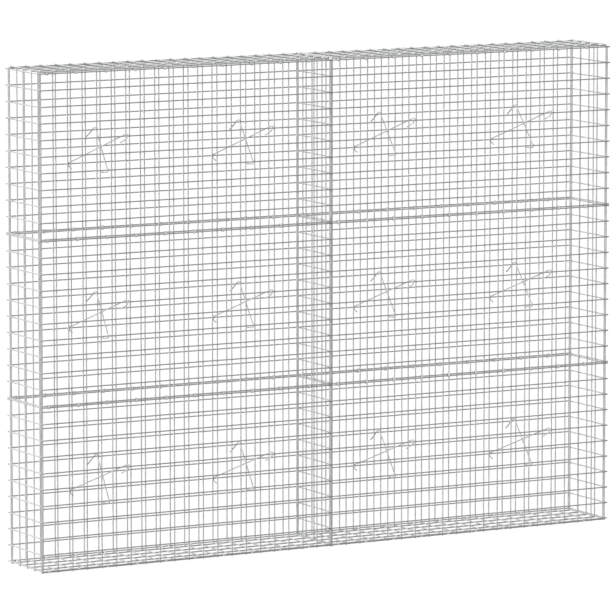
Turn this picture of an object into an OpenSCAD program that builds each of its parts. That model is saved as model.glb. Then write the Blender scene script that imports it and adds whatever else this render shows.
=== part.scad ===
// Gabion wall: an empty basket of welded wire mesh panels, two bays long and three rows
// high, with a floor, a hinged lid over each bay and hooked braces inside.
// X runs along the wall, Y from the front (-Y) to the back, Z up from the ground.
// The origin is at the middle of the wall's underside. All sizes are in millimetres.

/* [Mesh] */
// Side of one square mesh cell, between wire axes
cell = 50; // [40:1:75]
// Thickness of the mesh wire
wire_d = 4; // [3:0.5:6]
// How far the horizontal wires' free ends stand out past an end panel
tail = 2; // [0:0.5:8]

/* [Wall] */
// Cells along one bay
bay_cells = 20; // [12:1:24]
// Cells up one row
row_cells = 10; // [8:1:12]
// Cells across the wall's thickness
depth_cells = 4; // [3:1:8]
// Room between the neighbouring edge wires of two rows
row_room = 1; // [0:0.5:4]
// Room between the neighbouring edge wires of two bays
bay_room = 0; // [0:0.5:4]
// Room between a face panel's upright wires and the nearest upright wire of an end panel
side_room = 4; // [1:0.5:8]

/* [Floor and lids] */
// How much higher the front's lowest wire lies than the floor's long wires, face to face
floor_room = 1; // [0:0.5:4]
// Room between a bay's corner wires and the end wire of its floor or lid
cover_room = 1; // [0:0.5:4]

/* [Hinge rings] */
// Thickness of a ring
ring_d = 3; // [2:0.5:4]
// Room between a ring and the corners of the wires it holds
ring_clear = 0.5; // [0.4:0.1:1]
// Rings on each lid
rings = 4; // [2:1:5]

/* [Braces] */
// Thickness of a brace rod
rod_d = 4; // [3:0.5:5]
// From a brace's middle to the wire it hooks on, in whole cells
brace_rise = 1; // [1:1:3]
// Room between a rod and the top of the wire its low end hooks over
low_over = 0.5; // [0.5:0.5:3]
// Room between a rod and the top of the wire its high end hooks over
high_over = 2.5; // [1:0.5:4]
// Room between such a wire and the hook in front of it
hook_room = 4; // [2:0.5:8]
// Room between the falling rod's high hook and the upright beside it
upright_room = 0.5; // [0.5:0.5:4]

/* [Hidden] */
bay_names = ["left", "right"];
row_names = ["bottom", "middle", "top"];
bays = len(bay_names);
rows = len(row_names);

wire_r = wire_d / 2;
// Between the axes of the two layers of wires in one panel, which are welded face to face
layer = wire_d;
row_gap = wire_d + row_room;
bay_gap = wire_d + bay_room;
side_gap = wire_d + side_room;
floor_drop = wire_d + floor_room;
cover_inset = wire_d + cover_room;
bay_w = bay_cells * cell;
row_h = row_cells * cell;
end_w = depth_cells * cell;
bay_pitch = bay_w + bay_gap;
row_pitch = row_h + row_gap;
// Y of the face panels' upright wires and of their horizontal wires
face_y = end_w / 2 + side_gap;
face_out_y = face_y + layer;
// Z of the bottom row's lowest wire and of the top row's highest wire
base_z = floor_drop + wire_r;
top_z = base_z + rows * row_h + (rows - 1) * row_gap;
// X of the wall's corner wires
corner_x = (bays * bay_w + (bays - 1) * bay_gap) / 2;
partition_half = (layer + wire_d) / 2;
// From the wall's corner wires' axes to the horizontal wires' free ends
corner_tail = layer + wire_r + tail;
cover_pitch = (bay_w - 2 * cover_inset) / bay_cells;
// Z of the lids' long wires
lid_z = top_z + wire_d;
wire_grey = [0.72, 0.73, 0.74];
rod_grey = [0.66, 0.67, 0.68];

// X of the first upright of bay b, and Z of the lowest wire of row r
function bay_x(b) = -corner_x + b * bay_pitch;
function row_z(r) = base_z + r * row_pitch;
// Free ends of a row's uprights: down to the ground, up to the top wire's upper face
function low_end(r) = r == 0 ? base_z : row_gap / 2;
function high_end(r) = r == rows - 1 ? wire_r : row_gap / 2;

// A flat welded panel. Lines run along x, cross wires along y and lie below the lines.
// ends_x and ends_y give how far the wires pass the outermost axes at each end.
module panel(nx, ny, pitch_x, pitch_y, ends_x, ends_y) {
    for (j = [0 : ny])
        translate([-ends_x[0], j * pitch_y - wire_r, layer - wire_r])
            cube([nx * pitch_x + ends_x[0] + ends_x[1], wire_d, wire_d]);
    for (i = [0 : nx])
        translate([i * pitch_x - wire_r, -ends_y[0], -wire_r])
            cube([wire_d, ny * pitch_y + ends_y[0] + ends_y[1], wire_d]);
}

module front_panel(b, r) {
    left_end = b == 0 ? corner_tail : bay_gap / 2;
    right_end = b == bays - 1 ? corner_tail : bay_gap / 2;
    color(wire_grey)
        translate([bay_x(b), -face_y, row_z(r)])
            rotate([90, 0, 0])
                panel(bay_cells, row_cells, cell, cell,
                    [left_end, right_end], [low_end(r), high_end(r)]);
}

module back_panel(b, r) {
    mirror([0, 1, 0])
        front_panel(b, r);
}

// An end panel's uprights stand in line with the corner wires, and its horizontals pass
// outside them and stop against the face panels' horizontals
module end_panel(r) {
    reach = side_gap + layer - wire_r;
    color(wire_grey)
        translate([corner_x, -end_w / 2, row_z(r)])
            rotate([90, 0, 90])
                panel(depth_cells, row_cells, cell, cell,
                    [reach, reach], [low_end(r), high_end(r)]);
}

// The partition's horizontals stop against the uprights at the two bays' meeting
module partition_panel(r) {
    reach = side_gap - wire_r;
    color(wire_grey)
        translate([-layer / 2, -end_w / 2, row_z(r)])
            rotate([90, 0, 90])
                panel(depth_cells, row_cells, cell, cell,
                    [reach, reach], [low_end(r), high_end(r)]);
}

// The floor's cross wires reach from the front's uprights to the back's
module floor_panel(b) {
    reach = side_gap - wire_r;
    to_end = cover_inset - wire_r;
    to_partition = cover_inset + bay_gap / 2 - partition_half;
    left_end = b == 0 ? to_end : to_partition;
    right_end = b == bays - 1 ? to_end : to_partition;
    color(wire_grey)
        translate([bay_x(b) + cover_inset, 0, wire_r + layer])
            rotate([180, 0, 0])
                translate([0, -end_w / 2, 0])
                    panel(bay_cells, depth_cells, cover_pitch, cell,
                        [left_end, right_end], [reach, reach]);
}

// A lid's long wires lie below its cross wires and rest on the uprights of the end panel
module lid_panel(b) {
    over_end = cover_inset + wire_r;
    left_end = b == 0 ? over_end : wire_r;
    right_end = b == bays - 1 ? over_end : wire_r;
    color(wire_grey)
        translate([bay_x(b) + cover_inset, 0, lid_z + layer])
            rotate([180, 0, 0])
                translate([0, -end_w / 2, 0])
                    panel(bay_cells, depth_cells, cover_pitch, cell,
                        [left_end, right_end], [wire_r, wire_r]);
}

// The points of an oval around two wires' axes, which clears the circle of r around each
function oval(a, b, r) =
    let (along = atan2(b[1] - a[1], b[0] - a[0]))
    [for (end = [0, 1], k = [0 : 5])
        let (t = along + 180 * end + 30 * k - 75)
        (end == 0 ? b : a) + r / cos(15) * [cos(t), sin(t)]];

// Oval rings hold each lid's back wire to the back panel's top wire, the hinge axis. A ring's
// end is round about that axis, so it turns there with the lid.
module hinge_rings(b) {
    lid_wire = [end_w / 2, lid_z];
    hinge_wire = [face_out_y, top_z];
    inner_r = wire_r * sqrt(2) + ring_clear;
    step = floor(bay_cells / rings);
    color(rod_grey)
        for (k = [0 : rings - 1])
            translate([bay_x(b) + (k * step + floor(step / 2) + 0.5) * cell, 0, 0])
                rotate([90, 0, 90])
                    linear_extrude(ring_d, center = true)
                        difference() {
                            polygon(oval(lid_wire, hinge_wire, inner_r + ring_d));
                            polygon(oval(lid_wire, hinge_wire, inner_r));
                        }
}

// A bent rod through a list of points, six-sided
module bent_rod(points) {
    for (i = [0 : len(points) - 2]) {
        run = points[i + 1] - points[i];
        length = norm(run);
        lap = rod_d / 4;
        translate(points[i])
            rotate([0, acos(run[2] / length), atan2(run[1], run[0])])
                translate([0, 0, -lap])
                    cylinder(d = rod_d, h = length + 2 * lap, $fn = 6);
    }
}

// The points of a hook: over the wire, down in front of it and back in below it. side is -1
// at the front and 1 at the back, over is the room above the wire, turn is how far the hook's
// end goes along X and drop how far down, the latter in lengths of its reach.
function hook(x, z, side, over, turn, drop) =
    let (y = side * face_out_y)
    let (lift = (wire_d + rod_d) / 2 + over)
    let (reach = (wire_d + rod_d) / 2 + hook_room)
    [[x, y - side * (wire_r + over / 2), z + lift],
     [x, y + side * reach, z + 0.9 * lift],
     [x + turn / 3, y + side * reach, z - min(1, 0.9 * drop) * reach],
     [x + turn, y - side * reach, z - drop * reach]];

function reversed(v) = [for (i = [len(v) - 1 : -1 : 0]) v[i]];

// Two rods that cross in the middle of the wall and hook on the front and back mesh. One
// rises to the front and one falls to it.
module brace_pair() {
    rise = brace_rise * cell;
    beside_upright = cell - (wire_d + rod_d) / 2 - upright_room;
    bent_rod(concat(
        reversed(hook(-0.84 * cell, -rise, 1, low_over, 0.04 * cell, 1.8)),
        hook(0.77 * cell, rise, -1, high_over, -0.38 * cell, 2.5)));
    bent_rod(concat(
        reversed(hook(beside_upright, rise, 1, high_over, -0.7 * cell, 2.5)),
        hook(-0.54 * cell, -rise, -1, low_over, -0.32 * cell, 0.75)));
}

module braces(b, r) {
    color(rod_grey)
        for (quarter = [1, 3])
            translate([
                bay_x(b) + round(bay_cells * quarter / 4) * cell,
                0,
                row_z(r) + round(row_cells / 2) * cell])
                brace_pair();
}

for (r = [0 : rows - 1]) {
    for (b = [0 : bays - 1]) {
        front_panel(b, r);
        back_panel(b, r);
        braces(b, r);
    }
    mirror([1, 0, 0]) end_panel(r);
    end_panel(r);
    partition_panel(r);
}
for (b = [0 : bays - 1]) {
    floor_panel(b);
    lid_panel(b);
    hinge_rings(b);
}
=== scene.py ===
import math

import bpy
import numpy as np
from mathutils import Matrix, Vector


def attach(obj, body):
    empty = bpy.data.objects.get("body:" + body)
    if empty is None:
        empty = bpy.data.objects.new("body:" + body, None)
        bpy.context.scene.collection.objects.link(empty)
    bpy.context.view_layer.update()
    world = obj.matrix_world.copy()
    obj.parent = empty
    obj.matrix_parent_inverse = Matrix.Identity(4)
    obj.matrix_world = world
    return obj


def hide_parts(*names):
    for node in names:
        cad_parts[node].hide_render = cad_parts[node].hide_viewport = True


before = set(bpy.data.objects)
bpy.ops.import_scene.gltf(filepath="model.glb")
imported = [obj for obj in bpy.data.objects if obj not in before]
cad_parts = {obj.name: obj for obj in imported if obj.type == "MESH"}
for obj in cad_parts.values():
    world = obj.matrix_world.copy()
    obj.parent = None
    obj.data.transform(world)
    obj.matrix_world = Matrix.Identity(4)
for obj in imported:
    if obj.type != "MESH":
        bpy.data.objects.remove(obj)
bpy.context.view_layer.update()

# ---------------------------------------------------------------------------------------
# Sizes of the CAD model, in metres, in the same frame
# ---------------------------------------------------------------------------------------
CELL = 0.050
WIRE_R = 0.002
LAYER = 0.004
COLS = 20
ROWS_UP = 10
DEPTH = 4
END_Y = DEPTH * CELL / 2
ROW_GAP = 0.005
BAY_GAP = 0.004
SIDE_GAP = 0.008
BASE_Z = 0.007
CORNER_X = 1.002
FACE_Y = END_Y + SIDE_GAP
FACE_OUT_Y = FACE_Y + LAYER
COVER_INSET = 0.005
COVER_PITCH = (COLS * CELL - 2 * COVER_INSET) / COLS
TAIL = 0.008
BAY_X = (-CORNER_X, BAY_GAP / 2)
BAYS = ("left", "right")
ROWS = ("bottom", "middle", "top")
TOP_Z = BASE_Z + len(ROWS) * ROWS_UP * CELL + (len(ROWS) - 1) * ROW_GAP
LID_Z = TOP_Z + 2 * WIRE_R
# Room between a brace rod and the wires that its low and high ends hook over
LOW_OVER, HIGH_OVER = 0.0005, 0.0025
UPRIGHT_ROOM = 0.0005
# From the axis of a hooked wire to that of the hook in front of it
HOOK_REACH = 0.008

# The two layers of a welded mesh are pressed a little into each other
PRESS = 0.00025
SIDES = 12


def row_z(r):
    return BASE_Z + r * (ROWS_UP * CELL + ROW_GAP)


# ---------------------------------------------------------------------------------------
# Mesh building
# ---------------------------------------------------------------------------------------
class Mesh:
    """Collects vertices and faces, with a material number for each face."""

    def __init__(self):
        self.verts, self.faces, self.mats, self.count = [], [], [], 0

    def add(self, verts, faces, mat=0):
        self.verts.append(np.asarray(verts, float))
        for f in faces:
            f = np.asarray(f, int)
            if len(f):
                self.faces.append((f + self.count, mat))
        self.count += len(verts)

    def build(self, name, materials, place=None):
        verts = np.concatenate(self.verts)
        if place is not None:
            verts = place(verts)
        loops, starts, mats, at = [], [], [], 0
        for f, mat in self.faces:
            n, k = f.shape
            loops.append(f.ravel())
            starts.append(at + k * np.arange(n))
            mats.append(np.full(n, mat))
            at += n * k
        loops, starts, mats = map(np.concatenate, (loops, starts, mats))
        mesh = bpy.data.meshes.new(name)
        mesh.vertices.add(len(verts))
        mesh.vertices.foreach_set("co", verts.astype(np.float32).ravel())
        mesh.loops.add(len(loops))
        mesh.loops.foreach_set("vertex_index", loops.astype(np.int32))
        mesh.polygons.add(len(starts))
        mesh.polygons.foreach_set("loop_start", starts.astype(np.int32))
        for m in materials:
            mesh.materials.append(m)
        mesh.polygons.foreach_set("material_index", mats.astype(np.int32))
        mesh.update(calc_edges=True)
        mesh.validate()
        mesh.polygons.foreach_set("use_smooth", np.ones(len(mesh.polygons), bool))
        mesh.set_sharp_from_angle(angle=math.radians(50))
        obj = bpy.data.objects.new(name, mesh)
        bpy.context.scene.collection.objects.link(obj)
        return obj


def tube(mesh, path, radii, sides=SIDES, cut_mat=1):
    """A round wire along a list of points, with a radius at each, and cut flat at its ends."""
    path = np.asarray(path, float)
    radii = np.broadcast_to(np.asarray(radii, float), (len(path),))
    ahead = np.diff(path, axis=0)
    ahead /= np.linalg.norm(ahead, axis=1)[:, None]
    along = np.vstack([ahead[:1], ahead[:-1] + ahead[1:], ahead[-1:]])
    along /= np.linalg.norm(along, axis=1)[:, None]
    start = np.array([0.0, 0.0, 1.0]) if abs(along[0][2]) < 0.9 else np.array([1.0, 0, 0])
    u = start - along[0] * (start @ along[0])
    u /= np.linalg.norm(u)
    frames = [u]
    for t in along[1:]:
        u = frames[-1] - t * (frames[-1] @ t)
        frames.append(u / np.linalg.norm(u))
    u = np.array(frames)
    v = np.cross(along, u)
    turn = 2 * np.pi * (np.arange(sides) + 0.5) / sides
    ring = (np.cos(turn)[None, :, None] * u[:, None] + np.sin(turn)[None, :, None] * v[:, None])
    verts = path[:, None] + ring * radii[:, None, None]
    n = len(path)
    idx = np.arange(n * sides).reshape(n, sides)
    nxt = np.roll(idx, -1, axis=1)
    quads = np.stack([idx[:-1], nxt[:-1], nxt[1:], idx[1:]], axis=-1).reshape(-1, 4)
    mesh.add(verts.reshape(-1, 3), [quads])
    # flat cut faces, as n-gons of their own so that the edge stays crisp
    mesh.add(verts[0], [np.arange(sides)[None, ::-1]], cut_mat)
    mesh.add(verts[-1], [np.arange(sides)[None, :]], cut_mat)


def wavy(rng, n, size):
    """A smooth seeded wander of n points, at most about size."""
    steps = rng.normal(0, 1, n + 4)
    smooth = np.convolve(steps, [0.25, 0.5, 0.75, 0.5, 0.25], "valid")
    return size * smooth[:n] / 2


# How far a drawn wire wanders from straight, and the chamfer of its cut ends
WANDER = 0.00018
CHAMFER = 0.00035


def straight(mesh, rng, a, b):
    """A drawn wire from a to b, very slightly out of straight and uneven in thickness."""
    a, b = np.asarray(a, float), np.asarray(b, float)
    length = np.linalg.norm(b - a)
    n = max(2, int(round(length / (CELL / 2))) + 1)
    t = np.linspace(0, 1, n)
    path = a + (b - a) * t[:, None]
    d = (b - a) / length
    side = np.array([1.0, 0, 0]) if abs(d[0]) < 0.5 else np.array([0, 1.0, 0])
    up = np.cross(d, side)
    path += side * wavy(rng, n, WANDER)[:, None] + up * wavy(rng, n, WANDER)[:, None]
    radii = WIRE_R * (1 - 0.012 + 0.01 * rng.uniform(-1, 1, n))
    ends = path[:1] + d * CHAMFER, path[-1:] - d * CHAMFER
    path = np.vstack([path[:1], ends[0], path[1:-1], ends[1], path[-1:]])
    tube(mesh, path, np.concatenate([[WIRE_R - CHAMFER], radii, [WIRE_R - CHAMFER]]))


def weld_form():
    """A weld's squeezed-out metal: a ball that is flattened and turned at each crossing."""
    rings, sides = 5, 10
    verts, faces = [(0, 0, -1)], []
    for i in range(1, rings):
        p = math.pi * i / rings - math.pi / 2
        for k in range(sides):
            t = 2 * math.pi * k / sides
            verts.append((math.cos(p) * math.cos(t), math.cos(p) * math.sin(t), math.sin(p)))
    verts.append((0, 0, 1))
    quads, tris = [], []
    for k in range(sides):
        j = (k + 1) % sides
        tris.append((0, 1 + j, 1 + k))
        tris.append((len(verts) - 1, 1 + (rings - 2) * sides + k, 1 + (rings - 2) * sides + j))
        for i in range(rings - 2):
            a, b = 1 + i * sides, 1 + (i + 1) * sides
            quads.append((a + k, a + j, b + j, b + k))
    return np.array(verts, float), np.array(quads), np.array(tris)


WELD = weld_form()
WELD_SIZE = np.array([0.00245, 0.00245, 0.0012])
WELD_SLIP = 0.0002


def weld(mesh, rng, x, y, z):
    verts, quads, tris = WELD
    size = WELD_SIZE * rng.uniform(0.88, 1.12, 3)
    turn = rng.uniform(0, 2 * math.pi)
    c, s = math.cos(turn), math.sin(turn)
    v = verts * size
    v = np.stack([v[:, 0] * c - v[:, 1] * s, v[:, 0] * s + v[:, 1] * c, v[:, 2]], axis=1)
    slip = rng.uniform(-WELD_SLIP, WELD_SLIP), rng.uniform(-WELD_SLIP, WELD_SLIP)
    v += (x + slip[0], y + slip[1], z)
    mesh.add(v, [quads, tris], 2)


def panel(rng, nx, ny, pitch_x, pitch_y, ends_x, ends_y):
    """A flat welded panel: lines run along x, cross wires along y and lie below the lines."""
    mesh = Mesh()
    top, low = LAYER - PRESS, PRESS
    for j in range(ny + 1):
        y = j * pitch_y
        straight(mesh, rng, (-ends_x[0], y, top), (nx * pitch_x + ends_x[1], y, top))
    for i in range(nx + 1):
        x = i * pitch_x
        straight(mesh, rng, (x, -ends_y[0], low), (x, ny * pitch_y + ends_y[1], low))
    for j in range(ny + 1):
        for i in range(nx + 1):
            weld(mesh, rng, i * pitch_x, j * pitch_y, (top + low) / 2)
    return mesh


# ---------------------------------------------------------------------------------------
# Materials
# ---------------------------------------------------------------------------------------
def steel(name, light, dark, rough, metallic):
    """Galvanised steel: zinc grey in soft cloudy patches, with fine crystals and a dull shine."""
    mat = bpy.data.materials.new(name)
    mat.use_nodes = True
    nt = mat.node_tree
    nodes, links = nt.nodes, nt.links
    shader = nodes["Principled BSDF"]
    place = nodes.new("ShaderNodeTexCoord")
    cloud = nodes.new("ShaderNodeTexNoise")
    cloud.inputs["Scale"].default_value = 34.0
    cloud.inputs["Detail"].default_value = 4.0
    cloud.inputs["Roughness"].default_value = 0.6
    crystal = nodes.new("ShaderNodeTexVoronoi")
    crystal.feature = "F1"
    crystal.inputs["Scale"].default_value = 900.0
    fine = nodes.new("ShaderNodeTexNoise")
    fine.inputs["Scale"].default_value = 2600.0
    fine.inputs["Detail"].default_value = 3.0
    for n in (cloud, crystal, fine):
        links.new(place.outputs["Object"], n.inputs["Vector"])
    blend = nodes.new("ShaderNodeMix")
    blend.data_type = "FLOAT"
    blend.inputs[0].default_value = 0.35
    links.new(cloud.outputs["Fac"], blend.inputs[2])
    links.new(crystal.outputs["Color"], blend.inputs[3])
    ramp = nodes.new("ShaderNodeValToRGB")
    ramp.color_ramp.elements[0].position = 0.30
    ramp.color_ramp.elements[0].color = (*dark, 1)
    ramp.color_ramp.elements[1].position = 0.68
    ramp.color_ramp.elements[1].color = (*light, 1)
    links.new(blend.outputs[0], ramp.inputs["Fac"])
    links.new(ramp.outputs["Color"], shader.inputs["Base Color"])
    span = nodes.new("ShaderNodeMapRange")
    span.inputs["To Min"].default_value = rough - 0.10
    span.inputs["To Max"].default_value = rough + 0.12
    links.new(blend.outputs[0], span.inputs["Value"])
    links.new(span.outputs["Result"], shader.inputs["Roughness"])
    shader.inputs["Metallic"].default_value = metallic
    rise = nodes.new("ShaderNodeBump")
    rise.inputs["Strength"].default_value = 0.12
    rise.inputs["Distance"].default_value = 0.0001
    links.new(fine.outputs["Fac"], rise.inputs["Height"])
    links.new(rise.outputs["Normal"], shader.inputs["Normal"])
    return mat


LIGHT_ZINC = 0.68
DARK_ZINC = 0.53
METAL = 0.10


def zinc(name, shade, rough, metallic):
    light = [LIGHT_ZINC * shade * c for c in (0.985, 0.995, 1.0)]
    dark = [DARK_ZINC * shade * c for c in (0.98, 0.99, 1.0)]
    return steel(name, light, dark, rough, metallic)


MESH_WIRE = zinc("zinc_wire", 1.0, 0.48, METAL)
WELD_ZINC = zinc("zinc_weld", 0.90, 0.58, METAL)
CUT_STEEL = zinc("cut_end", 0.72, 0.40, METAL + 0.2)
BRACE_ZINC = zinc("zinc_brace", 0.96, 0.42, METAL + 0.05)
# Rings and clips get a zinc a quarter lighter than the mesh wire's: partly a lighter wire, partly
# painted light that brightens the coils whose turns shade each other.
RING_ZINC_WITH_PAINTED_LIGHT = zinc("zinc_ring_with_painted_light", 1.25, 0.38, METAL + 0.1)
WIRE_SET = (MESH_WIRE, CUT_STEEL, WELD_ZINC)


# ---------------------------------------------------------------------------------------
# The mesh panels
# ---------------------------------------------------------------------------------------
def stand_for(obj, node, body):
    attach(obj, body)
    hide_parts(node)


def low_end(r):
    return BASE_Z if r == 0 else ROW_GAP / 2


def high_end(r):
    return WIRE_R if r == 2 else ROW_GAP / 2


def seeded(*key):
    """The same random numbers for the same piece in every run."""
    return np.random.default_rng([ord(c) for c in "-".join(map(str, key))])


def flipped(mesh):
    mesh.faces = [(f[:, ::-1], m) for f, m in mesh.faces]
    return mesh


def add_panel(node, body, counts, pitch_x, ends_x, ends_y, place, mirrored=False):
    mesh = panel(seeded(node), *counts, pitch_x, CELL, ends_x, ends_y)
    if mirrored:
        flipped(mesh)
    stand_for(mesh.build(node + "_wires", WIRE_SET, place), node, body)


# The wires of neighbouring bays meet halfway
for b, bay in enumerate(BAYS):
    ends = (TAIL, BAY_GAP / 2) if b == 0 else (BAY_GAP / 2, TAIL)
    for r, row in enumerate(ROWS):
        for side, name in ((-1, "front"), (1, "back")):
            def place(v):
                y = side * (FACE_Y + v[:, 2])
                return np.stack([BAY_X[b] + v[:, 0], y, row_z(r) + v[:, 1]], 1)

            add_panel(f"{name}_{bay}_{row}", "basket", (COLS, ROWS_UP), CELL, ends,
                      (low_end(r), high_end(r)), place, mirrored=side == 1)

for r, row in enumerate(ROWS):
    reach = SIDE_GAP + LAYER - WIRE_R
    for side, name in ((-1, "end_left"), (1, "end_right")):
        def place(v):
            return np.stack([side * (CORNER_X + v[:, 2]), v[:, 0] - END_Y, row_z(r) + v[:, 1]], 1)

        add_panel(f"{name}_{row}", "basket", (DEPTH, ROWS_UP), CELL, (reach, reach),
                  (low_end(r), high_end(r)), place, mirrored=side == -1)

    reach = SIDE_GAP - WIRE_R

    def place(v):
        return np.stack([v[:, 2] - LAYER / 2, v[:, 0] - END_Y, row_z(r) + v[:, 1]], 1)

    add_panel(f"partition_{row}", "basket", (DEPTH, ROWS_UP), CELL, (reach, reach),
              (low_end(r), high_end(r)), place)

# The floors' and lids' long wires lie below their cross wires
for b, bay in enumerate(BAYS):
    for kind, body, top, ends, reach in (
        ("floor", "basket", WIRE_R + LAYER,
         (COVER_INSET - WIRE_R, COVER_INSET + BAY_GAP / 2 - LAYER), SIDE_GAP - WIRE_R),
        ("lid", f"{bay}_lid", LID_Z + LAYER - PRESS, (COVER_INSET + WIRE_R, WIRE_R), WIRE_R),
    ):
        def place(v):
            return np.stack([BAY_X[b] + COVER_INSET + v[:, 0], END_Y - v[:, 1], top - v[:, 2]], 1)

        add_panel(f"{kind}_{bay}", body, (COLS, DEPTH), COVER_PITCH,
                  ends if b == 0 else ends[::-1], (reach, reach), place)


# ---------------------------------------------------------------------------------------
# Brace rods, hinge rings and clips
# ---------------------------------------------------------------------------------------
def rounded(points, radius, steps=7):
    """The points' polyline with its corners turned into arcs."""
    points = [np.asarray(p, float) for p in points]
    out = [points[0]]
    for a, p, c in zip(points, points[1:], points[2:]):
        u, v = a - p, c - p
        lu, lv = np.linalg.norm(u), np.linalg.norm(v)
        u, v = u / lu, v / lv
        half = math.acos(max(-1, min(1, float(u @ v)))) / 2
        back = min(radius / math.tan(half), 0.49 * lu, 0.49 * lv)
        r = back * math.tan(half)
        middle = p + (u + v) / np.linalg.norm(u + v) * (r / math.sin(half))
        s, e = p + u * back - middle, p + v * back - middle
        sweep = math.pi - 2 * half
        for k in range(steps + 1):
            w = k / steps
            bend = s * math.sin((1 - w) * sweep) + e * math.sin(w * sweep)
            out.append(middle + bend / math.sin(sweep))
    out.append(points[-1])
    return out


def hook(x, z, side, over, turn, drop):
    """A rod's hooked end: over the wire, down in front of it and back in below it."""
    y, lift = side * FACE_OUT_Y, 2 * WIRE_R + over
    out_y = y + side * (HOOK_REACH - 0.0002)
    return [
        (x, y - side * (WIRE_R + over / 2), z + lift),
        (x, out_y, z + 0.9 * lift),
        (x + turn / 3, out_y, z - min(1, 0.9 * drop) * HOOK_REACH),
        (x + turn, y - side * HOOK_REACH, z - drop * HOOK_REACH),
    ]


def spaced(points, longest=0.02):
    """The same polyline with no run longer than longest."""
    out = [points[0]]
    for p in points[1:]:
        n = max(1, int(math.ceil(np.linalg.norm(p - out[-1]) / longest)))
        a = out[-1]
        out += [a + (p - a) * k / n for k in range(1, n + 1)]
    return out


def rod(mesh, points):
    path = np.array(spaced(rounded(points, 0.005)))
    keep = np.concatenate([[True], np.linalg.norm(np.diff(path, axis=0), axis=1) > 1e-6])
    tube(mesh, path[keep], WIRE_R * 0.985)


beside_upright = CELL - 2 * WIRE_R - UPRIGHT_ROOM
rising = hook(-0.84 * CELL, -CELL, 1, LOW_OVER, 0.04 * CELL, 1.8)[::-1]
rising += hook(0.77 * CELL, CELL, -1, HIGH_OVER, -0.38 * CELL, 2.5)
falling = hook(beside_upright, CELL, 1, HIGH_OVER, -0.7 * CELL, 2.5)[::-1]
falling += hook(-0.54 * CELL, -CELL, -1, LOW_OVER, -0.32 * CELL, 0.75)
for b, bay in enumerate(BAYS):
    for r, row in enumerate(ROWS):
        mesh = Mesh()
        for column in (COLS // 4, COLS * 3 // 4):
            at = np.array([BAY_X[b] + column * CELL, 0, row_z(r) + ROWS_UP // 2 * CELL])
            for points in (rising, falling):
                rod(mesh, [at + np.array(p) for p in points])
        node = f"braces_{bay}_{row}"
        obj = mesh.build(node + "_rods", (BRACE_ZINC, CUT_STEEL))
        stand_for(obj, node, "basket")


def around(a, b, r, start, end, steps):
    """Points on the oval of radius r round two wires at a and b, from one share to another."""
    a, b = np.array(a, float), np.array(b, float)
    along = math.atan2(*(b - a)[::-1])
    out = []
    for u in np.linspace(start, end, steps):
        # the first half of a round goes about b and the second about a
        half, part = divmod(2 * u, 1.0)
        centre = b if half % 2 == 0 else a
        t = along + math.pi * (part - 0.5 + half)
        out.append(centre + r * np.array([math.cos(t), math.sin(t)]))
    return np.array(out)


# A hinge ring is one round of wire, open by a little at its top
RINGS = 4
RING_BEND = 0.0040
RING_R = 0.0013
RING_LEAN = 0.0004
for b, bay in enumerate(BAYS):
    mesh = Mesh()
    path = around((END_Y, LID_Z), (FACE_OUT_Y, TOP_Z), RING_BEND, 0.54, 1.47, 40)
    for k in range(RINGS):
        x = BAY_X[b] + (k + 0.5) * COLS / RINGS * CELL
        lean = np.linspace(-RING_LEAN, RING_LEAN, len(path)) * (1 if k % 2 else -1)
        tube(mesh, np.column_stack([x + lean, path]), RING_R, sides=10)
    node = f"hinge_rings_{bay}"
    stand_for(mesh.build(node + "_round", (RING_ZINC_WITH_PAINTED_LIGHT, CUT_STEEL)), node, f"{bay}_lid")

# Clips of thin wire sit in every other cell, at about the same place in each
CLIP_R = 0.0012
CLIP_X = 0.019
CLIP_SLIP = 0.0012


def clip_places(rng, b):
    for k in range(0, COLS, 2):
        yield BAY_X[b] + k * CELL + CLIP_X + rng.uniform(-CLIP_SLIP, CLIP_SLIP)


def add_clips(mesh, name):
    obj = mesh.build(name, (RING_ZINC_WITH_PAINTED_LIGHT, CUT_STEEL))
    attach(obj, "basket")


# Coils bind two rows at their seams
COIL_HALF = 0.0042
for side, name in ((-1, "front"), (1, "back")):
    for b, bay in enumerate(BAYS):
        mesh = Mesh()
        rng = seeded("clips", name, bay)
        y = side * (FACE_OUT_Y - PRESS)
        for r in (1, 2):
            z = row_z(r)
            path = around((y, z - ROW_GAP), (y, z), WIRE_R + CLIP_R + 0.0002, 0.25, 3.30, 56)
            if side == -1:
                path[:, 0] = 2 * y - path[:, 0]
            slide = np.linspace(-COIL_HALF, COIL_HALF, len(path))
            for x in clip_places(rng, b):
                tube(mesh, np.column_stack([x + slide, path]), CLIP_R, sides=8)
        add_clips(mesh, f"clips_{name}_{bay}")

# Bent clips of three strands hold the edges of the lids and floors. Those at the lids are open
# upwards, so that the lid's wire can leave them, and those at the floors towards the ground.
STRAND_PITCH = 0.0026
EDGES = (
    ((-FACE_OUT_Y, TOP_Z), (-END_Y, LID_Z), 0.5, 1.17),
    ((-FACE_OUT_Y, BASE_Z), (-END_Y, WIRE_R), 0.285, 0.995),
    ((FACE_OUT_Y, BASE_Z), (END_Y, WIRE_R), 0.5, 1.215),
)
for b, bay in enumerate(BAYS):
    mesh = Mesh()
    rng = seeded("edge clips", bay)
    for near, far, start, end in EDGES:
        path = around(near, far, WIRE_R + CLIP_R + 0.0003, start, end, 22)
        for x in clip_places(rng, b):
            for strand in (-1, 0, 1):
                level = np.full(len(path), x + strand * STRAND_PITCH)
                tube(mesh, np.column_stack([level, path]), CLIP_R, sides=8)
    add_clips(mesh, f"edge_clips_{bay}")


# ---------------------------------------------------------------------------------------
# Floor, light and camera
# ---------------------------------------------------------------------------------------
# The floor's glow and its share of the light come to just over white, and less in a shadow
FLOOR_GREY = 0.12
FLOOR_GLOW = 0.950
FLOOR_HALF = 150.0


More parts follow.
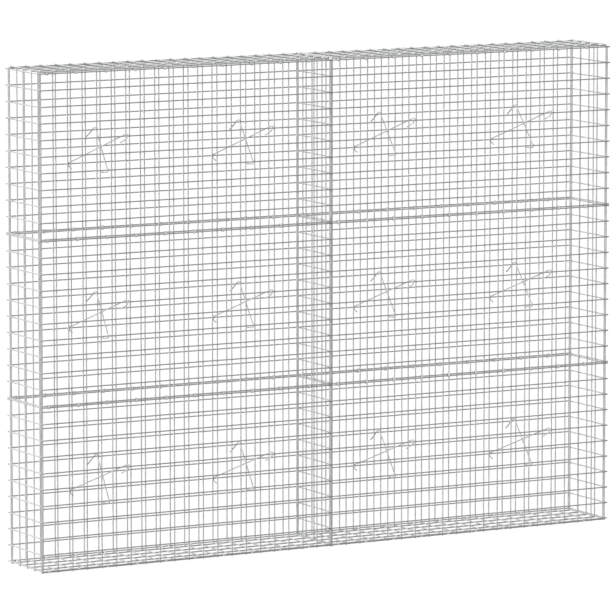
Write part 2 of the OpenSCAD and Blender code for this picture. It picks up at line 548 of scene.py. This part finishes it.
def seen_rays(nodes, links):
    """1 for camera, glossy and transmission rays, and 0 for the rays that light the object."""
    path = nodes.new("ShaderNodeLightPath")
    seen = path.outputs["Is Camera Ray"]
    for kind in ("Is Glossy Ray", "Is Transmission Ray"):
        either = nodes.new("ShaderNodeMath")
        either.operation = "MAXIMUM"
        links.new(seen, either.inputs[0])
        links.new(path.outputs[kind], either.inputs[1])
        seen = either.outputs[0]
    return seen


floor_mat = bpy.data.materials.new("studio_floor")
floor_mat.use_nodes = True
nt = floor_mat.node_tree
nt.nodes.clear()
out = nt.nodes.new("ShaderNodeOutputMaterial")
diffuse = nt.nodes.new("ShaderNodeBsdfDiffuse")
diffuse.inputs["Color"].default_value = (FLOOR_GREY, FLOOR_GREY, FLOOR_GREY, 1)
glow = nt.nodes.new("ShaderNodeEmission")
strength = nt.nodes.new("ShaderNodeMath")
strength.operation = "MULTIPLY"
strength.inputs[1].default_value = FLOOR_GLOW
nt.links.new(seen_rays(nt.nodes, nt.links), strength.inputs[0])
nt.links.new(strength.outputs[0], glow.inputs["Strength"])
both = nt.nodes.new("ShaderNodeAddShader")
nt.links.new(diffuse.outputs[0], both.inputs[0])
nt.links.new(glow.outputs[0], both.inputs[1])
nt.links.new(both.outputs[0], out.inputs["Surface"])

floor_mesh = bpy.data.meshes.new("studio_floor")
corners = [(x * FLOOR_HALF, y * FLOOR_HALF, 0) for x, y in ((-1, -1), (1, -1), (1, 1), (-1, 1))]
floor_mesh.from_pydata(corners, [], [(0, 1, 2, 3)])
floor_mesh.materials.append(floor_mat)
floor = bpy.data.objects.new("studio_floor", floor_mesh)
bpy.context.scene.collection.objects.link(floor)

world = bpy.data.worlds.new("studio")
bpy.context.scene.world = world
world.use_nodes = True
nt = world.node_tree
background = nt.nodes["Background"]
background.inputs["Color"].default_value = (1, 1, 1, 1)
WORLD_DIFFUSE = 0.20
span = nt.nodes.new("ShaderNodeMapRange")
span.inputs["To Min"].default_value = WORLD_DIFFUSE
span.inputs["To Max"].default_value = 1.0
nt.links.new(seen_rays(nt.nodes, nt.links), span.inputs["Value"])
nt.links.new(span.outputs["Result"], background.inputs["Strength"])


def sun(name, toward, strength, softness, shadow=True):
    """A wide soft light from far away, so that both bays get the same light."""
    data = bpy.data.lights.new(name, "SUN")
    data.energy = strength
    data.angle = math.radians(softness)
    data.use_shadow = shadow
    obj = bpy.data.objects.new(name, data)
    bpy.context.scene.collection.objects.link(obj)
    obj.rotation_euler = Vector(toward).to_track_quat("Z", "Y").to_euler()
    obj.location = Vector(toward) * 5


# Most light comes from the left. Half of it casts no shadows, as in the photo, where wires side
# by side don't darken each other.
KEY_FROM = (-0.93, -0.25, 0.22)
KEY_SOFT = 36
sun("key", KEY_FROM, 1.3, KEY_SOFT)
sun("key_unshadowed", KEY_FROM, 1.5, KEY_SOFT, shadow=False)
sun("top", (-0.3, 0.8, 0.8), 1.2, 50)

camera_data = bpy.data.cameras.new("camera")
camera_data.lens = 331.3
camera_data.sensor_width = 36.0
camera_data.clip_start = 0.1
camera_data.clip_end = 400.0
camera = bpy.data.objects.new("camera", camera_data)
bpy.context.scene.collection.objects.link(camera)
camera.location = (-8.584, -15.234, 3.016)
camera.rotation_euler = (math.pi / 2 - 0.1297, 0, -0.5120)
bpy.context.scene.camera = camera
bpy.context.scene.view_settings.view_transform = "Standard"
